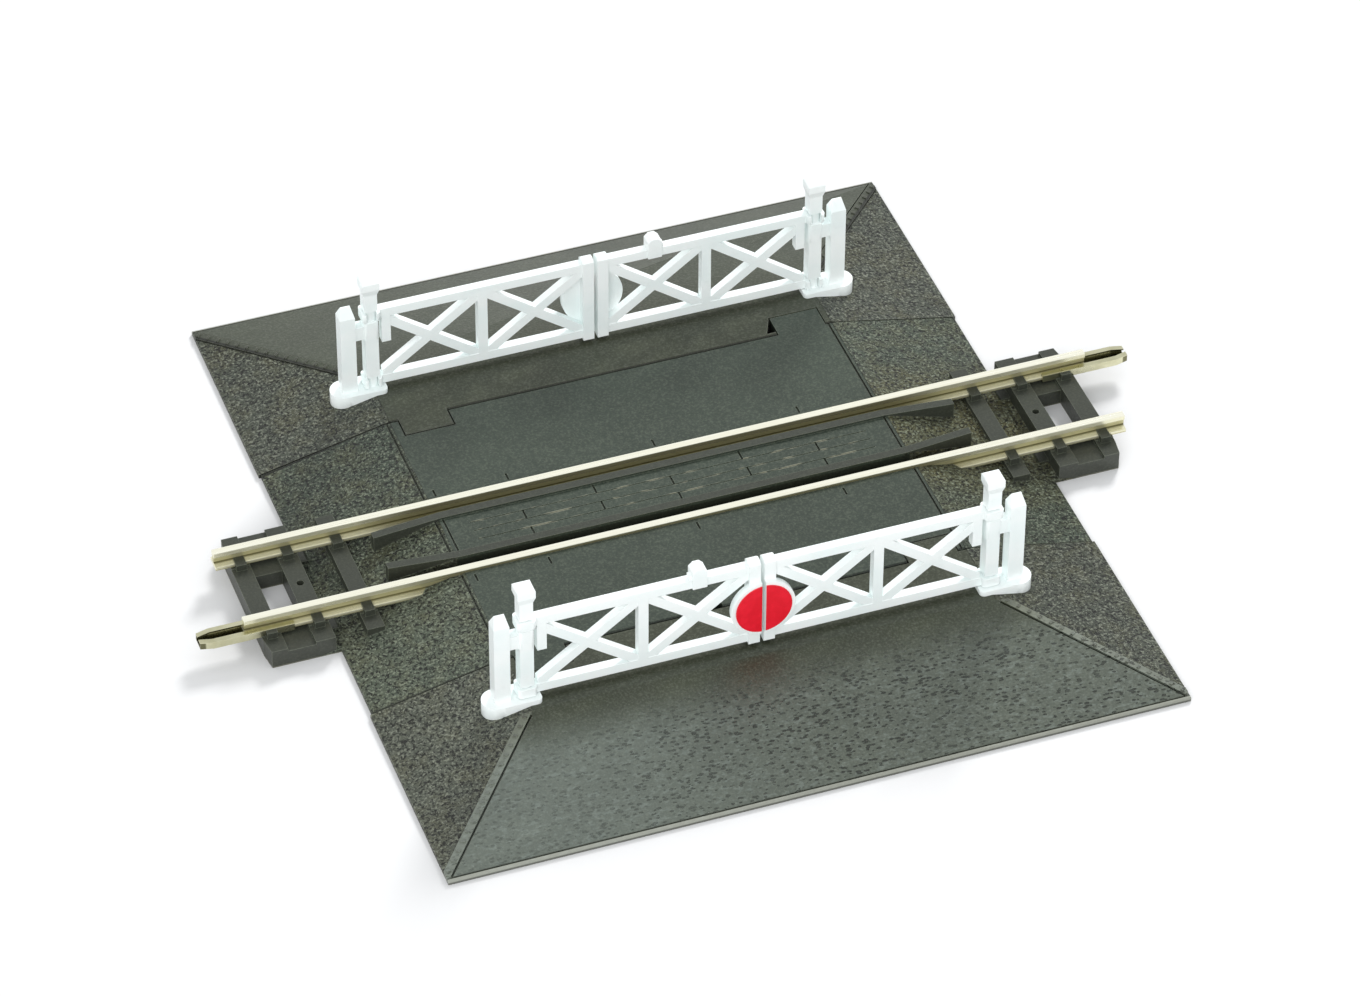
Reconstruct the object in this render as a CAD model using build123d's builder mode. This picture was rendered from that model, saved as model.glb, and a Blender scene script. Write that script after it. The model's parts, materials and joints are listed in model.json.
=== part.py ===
"""N gauge level crossing: a straight track with a road moulded over it, two clip-on ramps
and four swing gates.

Millimetres. +X runs along the rails, +Y across the railway to the rear, +Z is up. The origin
is on the track centre line, halfway along the rails, on the flat underside.
The crossing is the same when it is turned by half a turn about Z.
"""
from build123d import *
import os
from math import atan2, degrees, hypot

# ---- driving dimensions ----------------------------------------------------------------
GAUGE = 9.0                  # between the inner faces of the rail heads
RAIL_LENGTH = 87.0
RAIL_TOP = 3.70
RAIL_HEIGHT = 1.65
RAIL_HEAD = 0.75
RAIL_HEAD_DEPTH = 0.50
RAIL_FOOT = 1.70
RAIL_FOOT_EDGE = 0.35
RAIL_WEB = 0.40
RAIL_CLEARANCE = 0.03
RAIL_Y = GAUGE / 2 + RAIL_HEAD / 2
RAIL_FOOT_Z = RAIL_TOP - RAIL_HEIGHT
JOINER_START = 38.9
JOINER_PINCH = 46.6          # the walls bend in from here
JOINER_END = 47.8
JOINER_TIP_HALF = 0.72
JOINER_SHEET = 0.14
JOINER_LIP = 0.4             # how far the folded lips reach over the rail foot
JOINER_LIP_RISE = 0.10       # they clear the sloping top of the foot by this much
JOINER_HALF_WIDTH = RAIL_FOOT / 2 + RAIL_CLEARANCE + JOINER_SHEET
JOINER_BOTTOM = RAIL_FOOT_Z - RAIL_CLEARANCE - JOINER_SHEET

SLEEPER_TOP = 1.95
SLEEPER_HALF = 8.2           # half the length of a sleeper
SLEEPER_SPANS = ((40.25, 42.07), (35.68, 37.60), (31.00, 32.70))
SLEEPER_DRAW_IN_Y = 6.4      # the outermost sleeper narrows from here
SLEEPER_DRAW_IN_X = 0.27
WINDOW_HALF = 2.48           # half the opening between the two outer sleepers
WEB_SPAN = (37.5, 40.35)     # webs beside that opening
WEB_TOP = 1.65
JOINT_SPAN = (34.0, 35.9)    # thin floor between the slab and the second sleeper
JOINT_TOP = 0.40
JOINT_BRIDGE_HALF = 0.8      # thicker part of it, hidden under each rail
JOINT_BRIDGE_TOP = 0.70
CHAIR_HALF = 0.5             # half a chair block, along the rail
CHAIR_INNER = 3.4
CHAIR_OUTER = 6.45
CHAIR_TOP = 2.62
SEAT_INNER = 3.75
SEAT_OUTER = 6.0
NAIL_HOLE_X = 36.6
NAIL_HOLE_RADIUS = 0.35

ROAD_TOP = 3.40
ROAD_HALF = 22.3             # the road is flat this far from the middle
LIP = 0.42                   # thickness left at the foot of the slopes
SLAB_HALF_X = 35.2
SLAB_HALF_Y = 17.4           # seam between the track base and a ramp
SEAM_GAP = 0.13
RAMP_HALF_X = 35.4
RAMP_EDGE_Y = 40.2
CREST_Y = 24.8               # the road starts to fall here
SHELL = 1.15                 # wall of the hollow mouldings
BASE_BAYS = ((-31.0, -11.5), (-10.5, 10.5), (11.5, 31.0))    # hollows of the base, between its ribs
BASE_BAY_INNER = 9.2
MIDDLE_HOLLOW = (26.0, 7.6, 0.9)     # half length, half width and depth of the hollow under the rails
RAMP_RIBS = (-12.5, 0, 12.5)
RAMP_RIB_WIDTH = 1.0
RAMP_HOLLOW_INSET = 1.6

CHECK_RAIL_TOP = 3.65
CHECK_RAIL_OUTER = 3.30      # face that looks at the running rail
CHECK_RAIL_INNER = 2.45
FLARE_START = 22.0
FLARE_END = 28.9
FLARE = 0.65
CHECK_RAIL_ROOT = 1.2
FLANGEWAY_FLOOR = 1.95
GROOVE_WIDTH = 0.10          # along the boards
CROSS_GROOVE_WIDTH = 0.20    # across them
GROOVE_DEPTH = 0.20
BOARD_HALF_LENGTH = 19.7
NEAR_BOARD_JOINTS = (-7.25, 7.25)
FAR_BOARD_JOINTS = (-14.55, 0, 14.55)
ROAD_MARKS = (-21.55, -14.4, 0.15, 14.7)     # short marks outside the rails
ROAD_MARK_Y = 6.25
ROAD_MARK_LENGTH = 1.0
VERGE_GROOVES = (-22.7, 22.0)
BOARD_END_GROOVE = -21.96
RELEASE_SLOT_X = (-4.8, -1.5)
RELEASE_SLOT_Y = 16.8
RELEASE_SLOT_FLOOR = 1.4

KERB_WIDTH = 0.85            # band along the corner line between slope and verge
KERB_HEIGHT = 0.10
KERB_END_GAP = 0.6
KERB_STUDS = 17
STUD_HEIGHT = 0.12
STUD_LENGTH = 0.28
STUD_WIDTH = 0.42
LINE_WIDTH = 0.18
LINE_DEPTH = 0.30
LIP_ROUND = 0.16
LIP_LINE = (0.38, 0.24)      # fine line above the lip, from the edge of the ramp
LIP_LINE_DEPTH = 0.06
LIP_LINE_END_GAP = 0.3

TAB_WIDTH = 4.8
RAMP_TAB_X = 19.1            # middle of the tab that a ramp pushes into the base
RAMP_TAB_END = 15.15
BASE_TAB_X = 19.3            # middle of the tab that the base pushes into a ramp
BASE_TAB_END = 19.9
TAB_CLEARANCE = 0.13
TAB_BOTTOM = 0.9
EDGE_BREAK = 0.15

HEEL_X = 22.4                # gate pivot
GATE_Y = 22.9
LEAF_THICKNESS = 0.9
LEAF_BOTTOM = 4.0
LEAF_TOP = 13.0
LEAF_RAIL = 0.95             # height of the top and bottom rails
LEAF_FREE_X = 0.18           # free end of a leaf, from the middle of the road
EYE_SIDE = 1.80
EYE_CORNER = 0.35
EYE_BORE = 0.63
JOURNAL_RADIUS = 0.60
EYE_MOUTH = 1.0
STILE_WIDTH = 1.1
STILE_DEPTH = 1.3
STILE_BOTTOM = 3.78
STILE_TOP = 13.45
STILE_WEATHERING = (0.3, 0.4)
BRACE_WIDTH = 0.95
BRACE_DEPTH = 0.81
MID_BAR_X = 11.3
MID_BAR_WIDTH = 0.96
LATTICE_END = 21.35
LUG_WIDTH = 0.9
LUG_BOTTOM = 9.0
TARGET_Z = 8.2               # middle of the round target
TARGET_RADIUS = 3.06
TARGET_THICKNESS = 0.6
LABEL_RADIUS = 2.7
LABEL_THICKNESS = 0.12
LABEL_GAP = 0.02             # the cut edge of a label stays back from the meeting stile's edge
LAMP_X = 6.0
LAMP_WIDTH = 1.4
LAMP_DEPTH = 1.35
LAMP_TOP = 14.3
LAMP_SHOULDER = 0.38
LAMP_BRACKET = (0.95, 0.35, 0.45)    # reach, half depth and height

PLINTH_TOP = 3.9
PLINTH_X = 0.75              # middle of its square part, from the pivot
PLINTH_LENGTH = 4.0
PLINTH_WIDTH = 2.8
PLINTH_CORNER = 0.45
POST_ROOT = 2.9              # the posts start inside the plinth
HEEL_POST = 1.3
HEEL_POST_SPANS = ((5.1, 11.95), (13.1, 15.1))       # square parts, above and below the top eye
COLLAR_SIDE = 1.45
COLLAR_CORNER = 0.3
COLLAR_SPAN = (9.7, 11.8)
BRIDGE_HALF = 0.55           # tie between the two posts
BRIDGE_SPAN = (9.9, 11.4)
CAP_BOTTOM = 15.1
CAP_WIDTH = 1.7
CAP_SHOULDER = 15.75
CAP_TOP = 16.65
OUTER_POST_X = 24.75
OUTER_POST_SIZE = (1.5, 1.4)
OUTER_POST_RIDGE = (0.95, 0.14)
OUTER_POST_SHOULDER = 12.8
OUTER_POST_TOP = 13.9
PEG_X = (HEEL_X, OUTER_POST_X)
PEG_RADIUS = 0.78
PEG_CLEARANCE = 0.03
PEG_BOTTOM = 0.9


# ---- tools for several sub-parts -------------------------------------------------------
def prism(points, plane, amount):
    """A closed outline on a plane, extruded both ways by amount."""
    with BuildPart() as body:
        with BuildSketch(plane):
            with BuildLine():
                Polyline(*points, close=True)
            make_face()
        extrude(amount=amount, both=True)
    return body.part


def plan_block(x_from, x_to, y_from, y_to, z_from, z_to):
    """A block between two corners."""
    with BuildPart() as body:
        with BuildSketch(Plane.XY.offset(z_from)):
            with Locations(((x_from + x_to) / 2, (y_from + y_to) / 2)):
                Rectangle(abs(x_to - x_from), abs(y_to - y_from))
        extrude(amount=z_to - z_from)
    return body.part


def road_section(half_width, drop=0.0, inset=0.0):
    """Cross-section of road and verges, on XZ. A drop lowers the top and an inset draws in the edges."""
    top = ROAD_TOP - drop
    edge = half_width - inset
    lip = max(LIP + (LIP - ROAD_TOP) / (half_width - ROAD_HALF) * (edge - half_width) - drop, 0.05)
    return [(-edge, 0), (-edge, lip), (-ROAD_HALF, top), (ROAD_HALF, top), (edge, lip), (edge, 0)]


def slope_section(y_start, drop=0.0, inset=0.0):
    """Length-section of a ramp, on YZ, towards +Y."""
    top = ROAD_TOP - drop
    edge = RAMP_EDGE_Y - inset
    lip = max(LIP + (ROAD_TOP - LIP) / (RAMP_EDGE_Y - CREST_Y) * inset - drop, 0.05)
    return [(y_start, 0), (y_start, top), (CREST_Y, top), (edge, lip), (edge, 0)]


def ramp_solid(y_start, drop=0.0, inset=0.0):
    """The rear ramp's hipped block, lowered by drop and drawn in by inset."""
    with BuildPart() as body:
        add(prism(road_section(RAMP_HALF_X, drop, inset), Plane.XZ, RAMP_EDGE_Y + 1))
        add(prism(slope_section(y_start, drop, inset), Plane.YZ, RAMP_HALF_X + 1), mode=Mode.INTERSECT)
    return body.part


def base_bay(side, x_from, x_to):
    """One hollow of the track base's underside, between two ribs."""
    bay = plan_block(x_from, x_to, side * BASE_BAY_INNER, side * (SLAB_HALF_Y - SHELL), -1, ROAD_TOP)
    return bay & prism(road_section(SLAB_HALF_X, SHELL, 4.0), Plane.XZ, SLAB_HALF_Y)


MITRE_START = Vector(ROAD_HALF, CREST_Y)
MITRE_RUN = Vector(RAMP_HALF_X, RAMP_EDGE_Y) - MITRE_START
MITRE_PLANE = Plane(origin=MITRE_START, x_dir=MITRE_RUN, z_dir=(0, 0, 1))


def mitre_strip(y_from, y_to):
    """An upright strip along the rear right mitre. Positive y is on the verge's side."""
    with BuildPart() as strip:
        with BuildSketch(MITRE_PLANE):
            with Locations((MITRE_RUN.length / 2, -(y_from + y_to) / 2)):
                Rectangle(MITRE_RUN.length - 2 * KERB_END_GAP, abs(y_to - y_from))
        extrude(amount=ROAD_TOP + 1)
    return strip.part


def mitre_studs():
    """Small upright blocks spaced along the kerb band of the rear right mitre."""
    length = MITRE_RUN.length - 2 * KERB_END_GAP - 1
    spacing = length / (KERB_STUDS - 1)
    with BuildPart() as studs:
        with BuildSketch(MITRE_PLANE):
            with Locations((MITRE_RUN.length / 2, -KERB_WIDTH / 2)):
                with GridLocations(spacing, 1, KERB_STUDS, 1):
                    Rectangle(STUD_LENGTH, STUD_WIDTH)
        extrude(amount=ROAD_TOP + 1)
    return studs.part


def rail_section(clearance=0.0):
    """Outline of a rail about its own centre, on YZ: head, web and foot."""
    foot_z = RAIL_TOP - RAIL_HEIGHT
    head = RAIL_HEAD / 2 + clearance
    web = RAIL_WEB / 2 + clearance
    foot = RAIL_FOOT / 2 + clearance
    head_z = RAIL_TOP - RAIL_HEAD_DEPTH
    edge_z = foot_z + RAIL_FOOT_EDGE
    half = [(head, RAIL_TOP), (head, head_z), (web, head_z - 0.12), (web, edge_z + 0.12),
            (foot, edge_z), (foot, foot_z)]
    return [(y, z) for y, z in half] + [(-y, z) for y, z in reversed(half)]


def rail_prism(side, half_length, clearance=0.0):
    points = [(side * RAIL_Y + y, z) for y, z in rail_section(clearance)]
    return prism(points, Plane.YZ, half_length)


def check_rail_outline(side):
    """Plan of a check rail, flared at both ends towards the middle of the track."""
    outer = side * CHECK_RAIL_OUTER
    inner = side * CHECK_RAIL_INNER
    shift = side * FLARE
    return [(-FLARE_END, outer - shift), (-FLARE_START, outer), (FLARE_START, outer),
            (FLARE_END, outer - shift), (FLARE_END, inner - shift), (FLARE_START, inner),
            (-FLARE_START, inner), (-FLARE_END, inner - shift)]


def flangeway_outline(side):
    """Plan of the groove beside a running rail. It follows the check rail's flare."""
    flared = CHECK_RAIL_OUTER - FLARE
    rail_face = RAIL_Y - 0.1
    end = SLAB_HALF_X + 1
    return [(-end, side * flared), (-FLARE_END, side * flared), (-FLARE_START, side * CHECK_RAIL_OUTER),
            (FLARE_START, side * CHECK_RAIL_OUTER), (FLARE_END, side * flared), (end, side * flared),
            (end, side * rail_face), (-end, side * rail_face)]


# ---- track base ------------------------------------------------------------------------
with BuildPart() as sleepers:
    # Three sleepers at each end. The outermost has its corners drawn in a little.
    for end in (-1, 1):
        for x_from, x_to in SLEEPER_SPANS:
            add(plan_block(end * x_from, end * x_to, -SLEEPER_HALF, SLEEPER_HALF, 0, SLEEPER_TOP))
        for side in (-1, 1):
            # web between the two outer sleepers, beside the open window
            add(plan_block(end * WEB_SPAN[0], end * WEB_SPAN[1], side * WINDOW_HALF, side * SLEEPER_HALF,
                           0, WEB_TOP))
            # thicker bridge to the slab, hidden under the rail
            add(plan_block(end * JOINT_SPAN[0], end * JOINT_SPAN[1], side * RAIL_Y - JOINT_BRIDGE_HALF,
                           side * RAIL_Y + JOINT_BRIDGE_HALF, 0, JOINT_BRIDGE_TOP))
            # chair blocks that grip the rail foot, and the seat under it
            for x_from, x_to in SLEEPER_SPANS:
                chair_x = end * (x_from + x_to) / 2
                add(plan_block(chair_x - CHAIR_HALF, chair_x + CHAIR_HALF, side * CHAIR_INNER,
                               side * CHAIR_OUTER, SLEEPER_TOP - 0.2, CHAIR_TOP))
                add(plan_block(end * x_from, end * x_to, side * SEAT_INNER, side * SEAT_OUTER,
                               SLEEPER_TOP - 0.2, RAIL_FOOT_Z))
            with BuildSketch(Plane.XY):
                with BuildLine():
                    outer_x = end * SLEEPER_SPANS[0][1]
                    Polyline((outer_x, side * SLEEPER_DRAW_IN_Y),
                             (outer_x - end * SLEEPER_DRAW_IN_X, side * SLEEPER_HALF),
                             (outer_x + end, side * (SLEEPER_HALF + 1)),
                             (outer_x + end, side * SLEEPER_DRAW_IN_Y), close=True)
                make_face()
            extrude(amount=SLEEPER_TOP + 1, mode=Mode.SUBTRACT)
        # thin floor that ties the slab to the second sleeper
        add(plan_block(end * JOINT_SPAN[0], end * JOINT_SPAN[1], -SLEEPER_HALF, SLEEPER_HALF, 0, JOINT_TOP))

with BuildPart() as track_base:
    add(prism(road_section(SLAB_HALF_X), Plane.XZ, SLAB_HALF_Y))
    # soft edges where the slab meets the ramps
    chamfer(track_base.edges().filter_by(Axis.X).group_by(Axis.Z)[-1], length=EDGE_BREAK)
    # tabs that push into the ramps, one at each side
    for end in (-1, 1):
        add(plan_block(end * (BASE_TAB_X - TAB_WIDTH / 2), end * (BASE_TAB_X + TAB_WIDTH / 2),
                       end * (SLAB_HALF_Y - 1), end * BASE_TAB_END, TAB_BOTTOM, ROAD_TOP))
    # hollow underside, with two ribs left in each bay
    for side in (-1, 1):
        for x_from, x_to in BASE_BAYS:
            add(base_bay(side, x_from, x_to), mode=Mode.SUBTRACT)
    hollow_x, hollow_y, hollow_top = MIDDLE_HOLLOW
    add(plan_block(-hollow_x, hollow_x, -hollow_y, hollow_y, -1, hollow_top), mode=Mode.SUBTRACT)
    # moulded lines of the road boards
    board_width = CHECK_RAIL_INNER / 2
    with BuildSketch(Plane.XY.offset(ROAD_TOP - GROOVE_DEPTH)):
        with Locations((0, 0), (0, board_width), (0, -board_width)):
            Rectangle(2 * BOARD_HALF_LENGTH, GROOVE_WIDTH)
        # joints where the boards butt, staggered from row to row
        with Locations(*[(x, row * board_width) for x in NEAR_BOARD_JOINTS for row in (1.5, -0.5)]):
            Rectangle(CROSS_GROOVE_WIDTH, board_width)
        with Locations(*[(x, row * board_width) for x in FAR_BOARD_JOINTS for row in (0.5, -1.5)]):
            Rectangle(CROSS_GROOVE_WIDTH, board_width)
        # short marks on the road beside the rails
        with Locations(*[(x, side * ROAD_MARK_Y) for x in ROAD_MARKS for side in (-1, 1)]):
            Rectangle(CROSS_GROOVE_WIDTH, ROAD_MARK_LENGTH)
        # cross grooves where the road ends and the verge begins
        with Locations(*[(x, 0) for x in VERGE_GROOVES]):
            Rectangle(CROSS_GROOVE_WIDTH, 2 * SLAB_HALF_Y)
        with Locations((BOARD_END_GROOVE, 0)):
            Rectangle(CROSS_GROOVE_WIDTH, 2 * CHECK_RAIL_OUTER)
    extrude(amount=1, mode=Mode.SUBTRACT)
    # flangeways, then the check rails that line them
    for side in (-1, 1):
        with BuildSketch(Plane.XY.offset(FLANGEWAY_FLOOR)):
            with BuildLine():
                Polyline(*flangeway_outline(side), close=True)
            make_face()
        extrude(amount=ROAD_TOP, mode=Mode.SUBTRACT)
        with BuildSketch(Plane.XY.offset(CHECK_RAIL_ROOT)):
            with BuildLine():
                Polyline(*check_rail_outline(side), close=True)
            make_face()
        extrude(amount=CHECK_RAIL_TOP - CHECK_RAIL_ROOT)
    add(sleepers.part)
    # pockets for the ramp tabs
    for end in (-1, 1):
        half = TAB_WIDTH / 2 + TAB_CLEARANCE
        add(plan_block(-end * (RAMP_TAB_X - half), -end * (RAMP_TAB_X + half),
                       end * (RAMP_TAB_END - TAB_CLEARANCE), end * (SLAB_HALF_Y + 1), -1, ROAD_TOP + 1),
            mode=Mode.SUBTRACT)
    # release slot in the front seam
    add(plan_block(*RELEASE_SLOT_X, -SLAB_HALF_Y - 1, -RELEASE_SLOT_Y, RELEASE_SLOT_FLOOR, ROAD_TOP + 1),
        mode=Mode.SUBTRACT)
    # the rails slide in from the ends, under the chairs and through the road
    for side in (-1, 1):
        add(rail_prism(side, RAIL_LENGTH / 2 + 1, clearance=RAIL_CLEARANCE), mode=Mode.SUBTRACT)
    # room round the rail joiners, on one end of each rail
    for side in (-1, 1):
        room_y = JOINER_HALF_WIDTH + RAIL_CLEARANCE
        add(plan_block(side * (JOINER_START - 0.1), side * (JOINER_END + 1),
                       side * RAIL_Y - room_y, side * RAIL_Y + room_y,
                       JOINER_BOTTOM - RAIL_CLEARANCE, RAIL_TOP + 1), mode=Mode.SUBTRACT)
    # nail holes
    with Locations((-NAIL_HOLE_X, 0, SLEEPER_TOP), (NAIL_HOLE_X, 0, SLEEPER_TOP)):
        Hole(radius=NAIL_HOLE_RADIUS)


# ---- rails and joiners -----------------------------------------------------------------
with BuildPart() as rail_front:
    add(rail_prism(-1, RAIL_LENGTH / 2))

with BuildPart() as rail_rear:
    add(rail_prism(1, RAIL_LENGTH / 2))


def joiner_section(side, half_width):
    """Outline of the folded channel on YZ: floor, two walls and two lips over the rail foot."""
    floor_z = RAIL_FOOT_Z - RAIL_CLEARANCE
    lip_z = RAIL_FOOT_Z + RAIL_FOOT_EDGE + JOINER_LIP_RISE
    inner = half_width - JOINER_SHEET
    lip = inner - JOINER_LIP
    half = [(half_width, JOINER_BOTTOM), (half_width, lip_z + JOINER_SHEET), (lip, lip_z + JOINER_SHEET),
            (lip, lip_z), (inner, lip_z), (inner, floor_z)]
    return [(side * RAIL_Y + y, z) for y, z in half + [(-y, z) for y, z in reversed(half)]]


def joiner(side):
    """Channel round the rail foot on the end that side points to, pinched in at its tip."""
    with BuildPart() as channel:
        for x_from, x_to, half_from, half_to in (
                (JOINER_START, JOINER_PINCH, JOINER_HALF_WIDTH, JOINER_HALF_WIDTH),
                (JOINER_PINCH, JOINER_END, JOINER_HALF_WIDTH, JOINER_TIP_HALF)):
            for x, half_width in ((x_from, half_from), (x_to, half_to)):
                with BuildSketch(Plane.YZ.offset(side * x)):
                    with BuildLine():
                        Polyline(*joiner_section(side, half_width), close=True)
                    make_face()
            loft()
    return channel.part


with BuildPart() as joiner_left:
    add(joiner(-1))

with BuildPart() as joiner_right:
    add(joiner(1))


# ---- ramps -----------------------------------------------------------------------------
kerb_line = mitre_strip(-LINE_WIDTH, 0) - ramp_solid(0, LINE_DEPTH)
kerb_band = mitre_strip(0, KERB_WIDTH) & ramp_solid(0, -KERB_HEIGHT)
kerb_studs = mitre_studs() & ramp_solid(0, -KERB_HEIGHT - STUD_HEIGHT)
ramp_hollow = ramp_solid(SLAB_HALF_Y + SEAM_GAP + SHELL, SHELL, RAMP_HOLLOW_INSET)


def ramp_bay(x_from, x_to):
    """One hollow of a ramp's underside, between two ribs."""
    return ramp_hollow & plan_block(x_from, x_to, 0, RAMP_EDGE_Y, -1, ROAD_TOP)


with BuildPart() as ramp_rear:
    add(ramp_solid(SLAB_HALF_Y + SEAM_GAP))
    chamfer(ramp_rear.edges().filter_by(Axis.X).group_by(Axis.Z)[-1].sort_by(Axis.Y)[0], length=EDGE_BREAK)
    # rounded lip at the foot of the slope, with a fine line above it
    lip_edge = ramp_rear.edges().filter_by(Axis.X).group_by(Axis.Y)[-1].sort_by(Axis.Z)[-1]
    fillet(lip_edge, radius=LIP_ROUND)
    line_half = RAMP_HALF_X - LIP_LINE_END_GAP
    add(plan_block(-line_half, line_half, RAMP_EDGE_Y - LIP_LINE[0], RAMP_EDGE_Y - LIP_LINE[1],
                   LIP - LIP_LINE_DEPTH, ROAD_TOP), mode=Mode.SUBTRACT)
    # kerb along each mitre: a line on the slope's side, a low band and a row of small studs
    for corner in (kerb_line, kerb_line.mirror(Plane.YZ)):
        add(corner, mode=Mode.SUBTRACT)
    for corner in (kerb_band, kerb_band.mirror(Plane.YZ), kerb_studs, kerb_studs.mirror(Plane.YZ)):
        add(corner)
    # hollow underside, with three ribs
    rib_half = RAMP_RIB_WIDTH / 2
    rib_faces = [x + step for x in RAMP_RIBS for step in (-rib_half, rib_half)]
    bay_edges = [-RAMP_HALF_X] + rib_faces + [RAMP_HALF_X]
    for x_from, x_to in zip(bay_edges[0::2], bay_edges[1::2]):
        add(ramp_bay(x_from, x_to), mode=Mode.SUBTRACT)
    # tab that pushes into the track base
    add(plan_block(-RAMP_TAB_X - TAB_WIDTH / 2, -RAMP_TAB_X + TAB_WIDTH / 2,
                   RAMP_TAB_END, SLAB_HALF_Y + 1, TAB_BOTTOM, ROAD_TOP))
    # socket for the base's tab, with a small relief beside it
    socket_half = TAB_WIDTH / 2 + TAB_CLEARANCE
    add(plan_block(BASE_TAB_X - socket_half, BASE_TAB_X + socket_half,
                   SLAB_HALF_Y - 1, BASE_TAB_END + TAB_CLEARANCE,
                   TAB_BOTTOM - TAB_CLEARANCE, ROAD_TOP + 1), mode=Mode.SUBTRACT)
    with BuildSketch(Plane.XY.offset(ROAD_TOP - SHELL - 0.1)):
        with BuildLine():
            relief_x = BASE_TAB_X - socket_half + 0.05
            Polyline((relief_x, SLAB_HALF_Y + 0.4), (relief_x - 0.95, SLAB_HALF_Y + 0.4),
                     (relief_x, BASE_TAB_END), close=True)
        make_face()
    extrude(amount=ROAD_TOP, mode=Mode.SUBTRACT)
    # holes for the pegs of the two gate posts
    with Locations(*[(end * x, GATE_Y, ROAD_TOP) for end in (-1, 1) for x in PEG_X]):
        Hole(radius=PEG_RADIUS + PEG_CLEARANCE)

with BuildPart() as ramp_front:
    add(ramp_rear.part, rotation=(0, 0, 180))


# ---- gate posts ------------------------------------------------------------------------
front_ramp_block = Rotation(0, 0, 180) * ramp_solid(0)

with BuildPart() as post_pattern:
    # The front right post pair. Its plinth is round at the outer end and squarer at the heel post.
    with BuildSketch(Plane.XY.offset(LIP)):
        with Locations((HEEL_X + PLINTH_X, -GATE_Y)):
            RectangleRounded(PLINTH_LENGTH, PLINTH_WIDTH, PLINTH_CORNER)
        with Locations((HEEL_X + PLINTH_X + PLINTH_LENGTH / 2, -GATE_Y)):
            Circle(PLINTH_WIDTH / 2)
    extrude(amount=PLINTH_TOP - LIP)
    add(front_ramp_block, mode=Mode.SUBTRACT)
    # outer post with a hipped top
    with BuildSketch(Plane.XY.offset(POST_ROOT)):
        with Locations((OUTER_POST_X, -GATE_Y)):
            Rectangle(*OUTER_POST_SIZE)
    extrude(amount=OUTER_POST_SHOULDER - POST_ROOT)
    for z, size in ((OUTER_POST_SHOULDER, OUTER_POST_SIZE), (OUTER_POST_TOP, OUTER_POST_RIDGE)):
        with BuildSketch(Plane.XY.offset(z)):
            with Locations((OUTER_POST_X, -GATE_Y)):
                Rectangle(*size)
    loft()
    # heel post: square, but turned round where the leaf's eyes snap on
    for z_from, z_to in HEEL_POST_SPANS:
        with BuildSketch(Plane.XY.offset(z_from)):
            with Locations((HEEL_X, -GATE_Y)):
                Rectangle(HEEL_POST, HEEL_POST)
        extrude(amount=z_to - z_from)
    with BuildSketch(Plane.XY.offset(POST_ROOT)):
        with Locations((HEEL_X, -GATE_Y)):
            Circle(JOURNAL_RADIUS)
    extrude(amount=CAP_BOTTOM - POST_ROOT)
    # flared cap
    for z, width in ((CAP_BOTTOM, HEEL_POST), (CAP_SHOULDER, CAP_WIDTH)):
        with BuildSketch(Plane.XY.offset(z)):
            with Locations((HEEL_X, -GATE_Y)):
                Rectangle(width, width)
    loft()
    with BuildSketch(Plane.XY.offset(CAP_SHOULDER)):
        with Locations((HEEL_X, -GATE_Y)):
            Rectangle(CAP_WIDTH, CAP_WIDTH)
    extrude(amount=CAP_TOP - CAP_SHOULDER)
    chamfer(post_pattern.faces().sort_by(Axis.Z)[-1].edges(), length=EDGE_BREAK)
    # collar round the heel post, tied across to the outer post
    with BuildSketch(Plane.XY.offset(COLLAR_SPAN[0])):
        with Locations((HEEL_X, -GATE_Y)):
            RectangleRounded(COLLAR_SIDE, COLLAR_SIDE, COLLAR_CORNER)
    extrude(amount=COLLAR_SPAN[1] - COLLAR_SPAN[0])
    add(plan_block(HEEL_X, OUTER_POST_X, -GATE_Y - BRIDGE_HALF, -GATE_Y + BRIDGE_HALF, *BRIDGE_SPAN))
    # pegs down into the ramp
    with BuildSketch(Plane.XY.offset(PEG_BOTTOM)):
        with Locations(*[(x, -GATE_Y) for x in PEG_X]):
            Circle(PEG_RADIUS)
    extrude(amount=PLINTH_TOP - PEG_BOTTOM)

with BuildPart() as gate_post_front_right:
    add(post_pattern.part)

with BuildPart() as gate_post_front_left:
    add(post_pattern.part.mirror(Plane.YZ))

with BuildPart() as gate_post_rear_left:
    add(post_pattern.part, rotation=(0, 0, 180))

with BuildPart() as gate_post_rear_right:
    add(post_pattern.part.mirror(Plane.XZ))


# ---- gate leaves -----------------------------------------------------------------------
GATE_PLANE = Plane.XZ.offset(GATE_Y)       # its normal points away from the track


def brace(start, end):
    """One diagonal bar between two points of the gate plane."""
    run = end[0] - start[0]
    rise = end[1] - start[1]
    with BuildSketch(GATE_PLANE) as bar:
        with Locations(((start[0] + end[0]) / 2, (start[1] + end[1]) / 2)):
            Rectangle(hypot(run, rise) + 2, BRACE_WIDTH, rotation=degrees(atan2(rise, run)))
    return bar.sketch


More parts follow.
